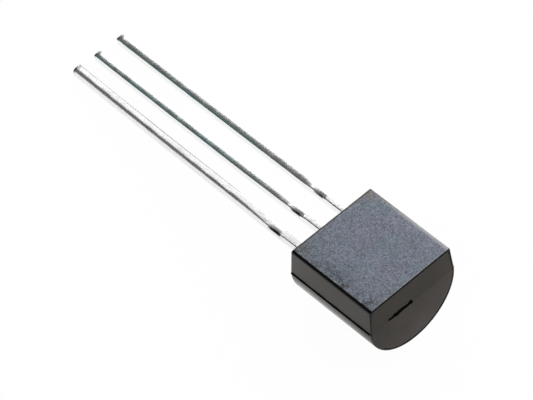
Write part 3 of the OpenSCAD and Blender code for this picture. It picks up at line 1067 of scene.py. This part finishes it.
@dataclass
class Lead:
    """One lead: the tinned leg outside the body and the stamped plate inside it.

    Sizes are in millimetres, and distances along the leg are measured from the body. The crown
    is how far the tinned front face bulges, the shoulder is the rounding of its low edge and the
    bow is how far the leg strays across, each by its stations along the leg.
    """

    bench: Bench
    terminal: Terminal
    pitch: float = 1.27
    width: float = 0.42
    thickness: float = 0.38
    length: float = 14.66
    front_radius: float = 0.045
    back_radius: float = 0.03
    corner_steps: int = 5
    face_cuts: int = 11
    overlap: float = 0.05
    dam_gap: float = 1.48
    dam_length: float = 0.76
    dam_proud: float = 0.014
    dam_slope: float = 0.021
    section_end: float = 0.225
    ear_start: float = 0.45
    ear_length: float = 0.34
    ear_proud: float = 0.15
    post_length: float = 0.52
    post_width: float = 0.68
    base_reach: float = 1.42
    emitter_reach: float = 2.3
    stamping_gap: float = 0.26
    paddle_length: float = 1.7
    paddle_width: float = 2.0
    corner: float = 0.1
    tab_length: float = 0.42
    tab_width: float = 0.9
    anchor_hole: float = 0.4
    lip: float = 0.017
    bend: float = 0.0
    crest: float = 0.43
    crown_share: float = 1.0
    waviness: float = 0.012
    lean: float = 0.0035
    ripple_waves: float = 1.7
    ripple_share: float = 0.35
    lean_waves: float = 0.55
    settle_length: float = 0.3
    stub_fade: tuple[float, float] = (2.4, 2.9)
    tip_length: float = 0.20
    tip_flat: float = 0.02
    tip_spread: float = 0.03
    shoulder: Stations = ((0.0, 0.0), (14.66, 0.0))
    bow: Stations = ((0.0, 0.0), (14.66, 0.0))
    crown: Stations = (
        (0.0, 0.004), (0.15, 0.005), (1.47, 0.005), (1.63, 0.050), (1.84, 0.050),
        (2.20, 0.011), (2.27, 0.004), (2.34, 0.005), (2.54, 0.025), (14.66, 0.027))

    @property
    def middle(self) -> float:
        """Place of the lead across the package."""
        return self.terminal.value * self.pitch

    @property
    def paddle_end(self) -> float:
        """Place along the package where the collector's paddle ends."""
        return self.base_reach + self.stamping_gap + self.paddle_length

    @property
    def paddle_low(self) -> float:
        """Place across the package of the paddle's low edge."""
        return -self.pitch - self.width / 2 - self.ear_proud

    def build(self) -> Piece:
        """Builds the whole lead as one solid, in package millimetres."""
        lead = self.bench.solid(self._leg(), "dressed_" + self.terminal.node)
        for blank in self._blanks():
            self.bench.combine(lead, self.bench.solid(self._plate(blank), "plate"), Operation.JOIN)
        if self.terminal is Terminal.COLLECTOR:
            self.bench.combine(lead, self.bench.solid(self._anchor_hole(), "hole"), Operation.CUT)
        return lead

    def _leg(self) -> Shape:
        """Draws the section, carries it out to the tip and works the surface."""
        place = -self.section_end - self.overlap
        shape = square(Matrix.Translation((-place, self.middle, self.thickness / 2))
                       @ Matrix.Diagonal((1, self.width, self.thickness, 1))
                       @ Matrix.Rotation(math.pi / 2, 4, "Y"))
        for radius, front in ((self.front_radius, True), (self.back_radius, False)):
            corners = [v for v in shape.verts if (v.co.z > self.thickness / 2) is front
                       and abs(v.co.z - self.thickness / 2) > self.thickness * 0.49]
            round_corners(shape, corners, radius, self.corner_steps)
        bmesh.ops.delete(shape, geom=shape.faces[:], context="FACES_ONLY")
        runs = [e for e in shape.edges if e.calc_length() > self.thickness / 2]
        bmesh.ops.subdivide_edges(shape, edges=runs, cuts=self.face_cuts)
        loop = shape.verts[:] + shape.edges[:]
        far = self.dam_gap + self.dam_length
        # Places along the leg, and the number of steps up to each.
        for stop, steps in ((0.0, 2), (self.dam_gap, 9), (self.dam_gap + self.dam_slope, 3),
                            (far - self.dam_slope, 8), (far, 3), (2.7, 8),
                            (self.length - self.tip_length, 130), (self.length, 8)):
            loop = carry(shape, loop, steps, by=(place - stop, 0, 0))
            place = stop
        close_ends(shape)
        for vert in shape.verts:
            vert.co = self._worked(vert.co)
        return shape

    def _worked(self, point: Vector) -> Vector:
        """Moves a point of the drawn section to where the tin, the shear and the bend put it.

        Args:
            point: A point of the drawn leg.

        Returns:
            The same point on the worked leg.
        """
        away = max(-point.x, 0.0)
        if away == 0.0:
            return point
        seed = self.terminal.value * 11.0
        across = (point.y - self.middle) / (self.width / 2)
        up = point.z / self.thickness
        far = self.dam_gap + self.dam_length
        stub = min(smooth_step(away, self.dam_gap, self.dam_gap + self.dam_slope),
                   1 - smooth_step(away, far - self.dam_slope, far))
        settled = smooth_step(away, 0.0, self.settle_length)
        past_stub = smooth_step(away, *self.stub_fade)
        tip = smooth_step(away, self.length - self.tip_length, self.length - self.tip_flat)
        ripple = noise.noise(Vector((away * self.ripple_waves, seed, 0.0)))
        run = noise.noise(Vector((away * self.lean_waves, seed, 3.0)))
        crown = between(away, self.crown) * (1 + self.ripple_share * ripple) * (1 - 0.8 * tip)
        crown *= 1 + (self.crown_share - 1) * past_stub
        crested = across - self.crest * past_stub
        fall = self._fall(across, between(away, self.shoulder) * (1 + 0.25 * ripple))
        leaning = self.lean * run * settled * across
        z = point.z + (leaning - crown * crested * crested - fall + self.lip * tip * up) * up
        half = self.width / 2 + self.dam_proud * stub * min(1.0, up * 3, (1 - up) * 3 + 0.4)
        y = across * half * (1 + self.waviness * ripple * settled) * (1 + self.tip_spread * tip)
        return Vector((point.x, self.middle + between(away, self.bow) + y,
                       z + self.bend * (away / self.length) ** 2))

    def _fall(self, across: float, radius: float) -> float:
        """How far the low front edge falls away where it is rounded.

        Args:
            across: Place across the lead, from -1 to 1.
            radius: Radius of the rounding.

        Returns:
            The fall from the front face.
        """
        beyond = radius - (1 + across) * self.width / 2
        if radius <= 0 or beyond <= 0:
            return 0.0
        return radius - math.sqrt(max(radius * radius - beyond * beyond, 0.03 * radius * radius))

    def _blanks(self) -> list[Blank]:
        """The rounded rectangles that make up the plate inside the body."""
        middle, half = self.middle, self.width / 2
        ear = Blank((self.ear_start, middle - half - self.ear_proud),
                    (self.ear_start + self.ear_length, middle + half + self.ear_proud), self.corner)
        if self.terminal is Terminal.COLLECTOR:
            start, end, low = self.paddle_end - self.paddle_length, self.paddle_end, self.paddle_low
            stem_end = start + self.paddle_length / 2
            tab = low + self.paddle_width / 2
            ends = [Blank((start, low), (end, low + self.paddle_width), self.corner),
                    Blank((end - self.tab_width / 2, tab - self.tab_width / 2),
                          (end + self.tab_length, tab + self.tab_width / 2), self.corner)]
        else:
            on_emitter = self.terminal is Terminal.EMITTER
            reach = self.emitter_reach if on_emitter else self.base_reach
            stem_end = reach - self.post_length / 2
            post = middle - ((self.post_width - self.width) / 2 if on_emitter else 0.0)
            ends = [Blank((reach - self.post_length, post - self.post_width / 2),
                          (reach, post + self.post_width / 2), self.corner)]
        return [Blank((self.section_end, middle - half), (stem_end, middle + half)), ear, *ends]

    def _plate(self, blank: Blank) -> Shape:
        """Stamps one rounded rectangle out of the strip."""
        (low_x, low_y), (high_x, high_y) = blank.low, blank.high
        shape = square(Matrix.Translation(((low_x + high_x) / 2, (low_y + high_y) / 2, 0))
                       @ Matrix.Diagonal((high_x - low_x, high_y - low_y, 1, 1)))
        if blank.corner:
            round_corners(shape, shape.verts[:], blank.corner, segments=8)
        thicken(shape, shape.faces[:], (0, 0, self.thickness))
        return shape

    def _anchor_hole(self) -> Shape:
        """Draws the punch that makes the hole where the tab meets the paddle."""
        shape = bmesh.new()
        place = (self.paddle_end, self.paddle_low + self.paddle_width / 2, self.thickness / 2)
        bmesh.ops.create_cone(shape, segments=48, radius1=self.anchor_hole / 2,
                              radius2=self.anchor_hole / 2, depth=self.thickness * 3,
                              cap_ends=True, matrix=Matrix.Translation(place))
        return shape


def bent_leads(bench: Bench) -> dict[Terminal, Lead]:
    """The three leads, each with its own bow, crest and wear."""
    emitter = Lead(bench, Terminal.EMITTER, crest=0.38, bow=(
        (0.0, 0.0), (1.2, 0.0), (1.6, 0.018), (2.3, 0.018), (3.0, 0.008), (9.0, 0.006),
        (14.66, 0.024)))
    base = Lead(bench, Terminal.BASE, crest=0.14, bow=(
        (0.0, 0.0), (1.0, -0.004), (1.6, -0.012), (2.3, -0.014), (3.2, -0.022),
        (6.0, -0.030), (9.0, -0.022), (12.0, -0.006), (14.66, 0.002)))
    collector = Lead(bench, Terminal.COLLECTOR, bend=0.05, crest=0.0, crown_share=0.15, bow=(
        (0.0, 0.0), (1.0, -0.006), (1.6, -0.024), (2.3, -0.022), (4.0, 0.0),
        (8.0, 0.008), (11.0, 0.024), (14.66, 0.050)), shoulder=(
        (2.3, 0.0), (2.9, 0.11), (4.0, 0.145), (9.0, 0.165), (14.66, 0.19)))
    return {lead.terminal: lead for lead in (emitter, base, collector)}


# ---------------------------------------------------------------- chip and wires


@dataclass
class Chip:
    """The die, its attach layer and its two bond wires, which stay the CAD's own solids.

    Sizes are in millimetres.
    """

    package: PackageFrame
    die_thickness: float = 0.2
    pad_offset: float = 0.12
    pad_side: float = 0.11

    def dress(self) -> None:
        """Gives each CAD node its finish."""
        low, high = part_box("silicon_die")
        middle = self.package.to_world.inverted() @ ((low + high) / 2)
        middle.z += self.die_thickness / 2
        gold = GoldFinish(self.package)
        finishes = {
            "silicon_die": SiliconFinish(self.package, middle, self.pad_offset, self.pad_side),
            "die_attach": SilverEpoxyFinish(self.package),
            "base_bond_wire": gold,
            "emitter_bond_wire": gold,
        }
        for node, finish in finishes.items():
            for place in frame["nodes"][node].material_slots:
                place.material = finish.material
            log.info("%s keeps its CAD shape, with the finish %s", node, finish.material.name)


# ---------------------------------------------------------------- studio


@dataclass
class Studio:
    """A pale floor, one soft box behind the part, an even room and the camera.

    Lengths are in metres and angles in degrees, and azimuths are measured from +X towards +Y.
    The camera's place, in millimetres, and its directions are in the package's own frame.
    """

    package: PackageFrame
    floor_size: float = 1.2
    floor_colour: float = 0.9
    floor_glow: float = 0.97
    # To glossy rays the floor's glow fades past the body's end and dims beside it: a painted shadow.
    painted_shadow_fade: tuple[float, float] = (0.0068, 0.0120)
    painted_side_shadow_along: tuple[float, float] = (0.0018, 0.0052)
    painted_side_shadow_across: tuple[float, float] = (-0.0030, -0.0042)
    painted_side_shadow: float = 0.34
    glow_shares: tuple[float, float] = (0.9, 0.6)
    glow_levels: tuple[float, float] = (1.0, 0.10)
    box_azimuth: float = 124.0
    box_elevation: float = 22.0
    box_distance: float = 0.30
    box_size: tuple[float, float] = (0.36, 0.28)
    box_radiance: float = 2.0
    room_level: float = 0.86
    gloss_heights: tuple[float, float] = (0.25, 0.55)
    gloss_levels: tuple[float, float] = (0.02, 0.09)
    camera_place: tuple[float, float, float] = (59.936, -47.427, 95.961)
    camera_heading: tuple[float, float, float] = (-0.51049, 0.37819, -0.77225)
    camera_up: tuple[float, float, float] = (-0.52866, 0.57026, 0.62875)
    focal_length: float = 202.8
    sensor_width: float = 36.0
    clip: tuple[float, float] = (0.01, 10.0)

    def build(self) -> None:
        """Sets up the floor, the light and the camera."""
        bpy.context.scene.view_settings.view_transform = "Standard"
        self._floor()
        self._soft_box()
        self._room()
        self._camera()

    def _seen(self, sketch: NodeSketch) -> tuple[Socket, Socket]:
        """Tells the rays apart: those that go clear to the camera, and those of a gloss."""
        seen = sketch.node("ShaderNodeLightPath").outputs
        clear = sketch.highest(seen["Is Camera Ray"], seen["Is Transmission Ray"])
        return clear, seen["Is Glossy Ray"]

    def _floor(self) -> None:
        """Lays the floor, which shows pale to the camera and keeps the part's shadow."""
        floor = link("floor", to_mesh(square(Matrix.Scale(self.floor_size, 4)), "floor"))
        material = bpy.data.materials.new("pale_floor")
        sketch = NodeSketch.bare(material)
        clear, glossy = self._seen(sketch)
        place = sketch.parts(sketch.object_place())
        # Painted shadow in reflections: the glow that glossy rays see fades past the body's end and
        # dims beside its low side.
        shine = sketch.times(glossy, sketch.ramp(place["X"], *self.painted_shadow_fade, *self.glow_shares))
        beside = sketch.times(sketch.ramp(place["X"], *self.painted_side_shadow_along),
                              sketch.ramp(place["Y"], *self.painted_side_shadow_across))
        level = sketch.times(sketch.ramp(place["X"], *self.painted_shadow_fade, *self.glow_levels),
                             sketch.stack(1.0, (beside, -self.painted_side_shadow)))
        diffuse = sketch.node("ShaderNodeBsdfDiffuse", {"Color": (self.floor_colour,) * 3 + (1.0,)})
        glow = sketch.node("ShaderNodeEmission", {
            "Color": (1.0, 1.0, 1.0, 1.0), "Strength": sketch.highest(clear, level)})
        mixed = sketch.node("ShaderNodeMixShader", {
            0: sketch.stack(shine, (clear, self.floor_glow)), 1: diffuse.outputs[0],
            2: glow.outputs[0]})
        sketch.node("ShaderNodeOutputMaterial", {"Surface": mixed.outputs[0]})
        floor.data.materials.append(material)

    def _soft_box(self) -> None:
        """Hangs the soft box behind the part."""
        azimuth, elevation = math.radians(self.box_azimuth), math.radians(self.box_elevation)
        away = Vector((math.cos(azimuth) * math.cos(elevation),
                       math.sin(azimuth) * math.cos(elevation), math.sin(elevation)))
        data = bpy.data.lights.new("soft_box", "AREA")
        data.shape = "RECTANGLE"
        data.size, data.size_y = self.box_size
        data.energy = self.box_radiance * math.pi * self.box_size[0] * self.box_size[1]
        lamp = link("soft_box", data)
        lamp.location = away * self.box_distance
        lamp.rotation_mode = "QUATERNION"
        lamp.rotation_quaternion = away.to_track_quat("Z", "Y")
        lamp.visible_camera = False

    def _room(self) -> None:
        """Makes the room: white to the camera, even for diffuse light, dim to gloss."""
        world = bpy.data.worlds.new("room")
        bpy.context.scene.world = world
        sketch = NodeSketch.bare(world)
        clear, glossy = self._seen(sketch)
        up = sketch.parts(sketch.node("ShaderNodeTexCoord").outputs["Generated"])["Z"]
        dim = sketch.times(glossy, sketch.ramp(up, *self.gloss_heights, *self.gloss_levels))
        even = sketch.times(sketch.minus(1.0, glossy), self.room_level)
        light = sketch.node("ShaderNodeBackground", {
            "Color": (1.0, 1.0, 1.0, 1.0),
            "Strength": sketch.highest(sketch.plus(dim, even), clear)})
        sketch.node("ShaderNodeOutputWorld", {"Surface": light.outputs[0]})

    def _camera(self) -> None:
        """Sets the camera."""
        data = bpy.data.cameras.new("camera")
        data.sensor_fit = "HORIZONTAL"
        data.sensor_width = self.sensor_width
        data.lens = self.focal_length
        data.clip_start, data.clip_end = self.clip
        camera = link("camera", data)
        backward, up = -Vector(self.camera_heading), Vector(self.camera_up)
        right = up.cross(backward).normalized()
        held = Matrix((right, backward.cross(right).normalized(), backward.normalized()))
        turn = self.package.to_world.to_quaternion()
        camera.rotation_mode = "QUATERNION"
        camera.rotation_quaternion = turn @ held.transposed().to_quaternion()
        camera.location = self.package.to_world @ Vector(self.camera_place)
        bpy.context.scene.camera = camera


# ---------------------------------------------------------------- the whole part


def dress(piece: Piece, finish: Finish, node: str) -> None:
    """Gives a finished piece its material and puts it in its node's place.

    Args:
        piece: The piece, laid down in the world.
        finish: Its finish.
        node: The CAD node that it stands for.
    """
    piece.data.materials.clear()
    piece.data.materials.append(finish.material)
    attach(piece, BODY)
    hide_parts(node)
    log.info("%s stands for %s: %d faces", piece.name, node, len(piece.data.polygons))


def main() -> None:
    """Builds every piece, dresses it and sets up the studio."""
    logging.basicConfig(level=logging.INFO, format="%(name)s: %(message)s")
    package = PackageFrame.from_record(frame["record"], MouldedBody.height, MouldedBody.front_depth)
    bench = Bench(package)
    leads = bent_leads(bench)
    solids = {terminal: lead.build() for terminal, lead in leads.items()}
    chip_nodes = ("die_attach", "silicon_die", "base_bond_wire", "emitter_bond_wire")
    chip_tools = [bench.copy_of_node(node) for node in chip_nodes]
    mould = MouldedBody(bench)
    body = mould.build(list(solids.values()) + chip_tools)
    for tool in chip_tools:
        bpy.data.objects.remove(tool)
    bench.lay_down(body, sharp_from=28)
    dress(body, CompoundFinish(package, mould), "moulded_body")
    tin = TinFinish(package, leads[Terminal.BASE])
    for terminal, solid in solids.items():
        bench.lay_down(solid, sharp_from=35)
        dress(solid, tin, terminal.node)
    Chip(package).dress()
    Studio(package).build()


if __name__ == "__main__":
    main()
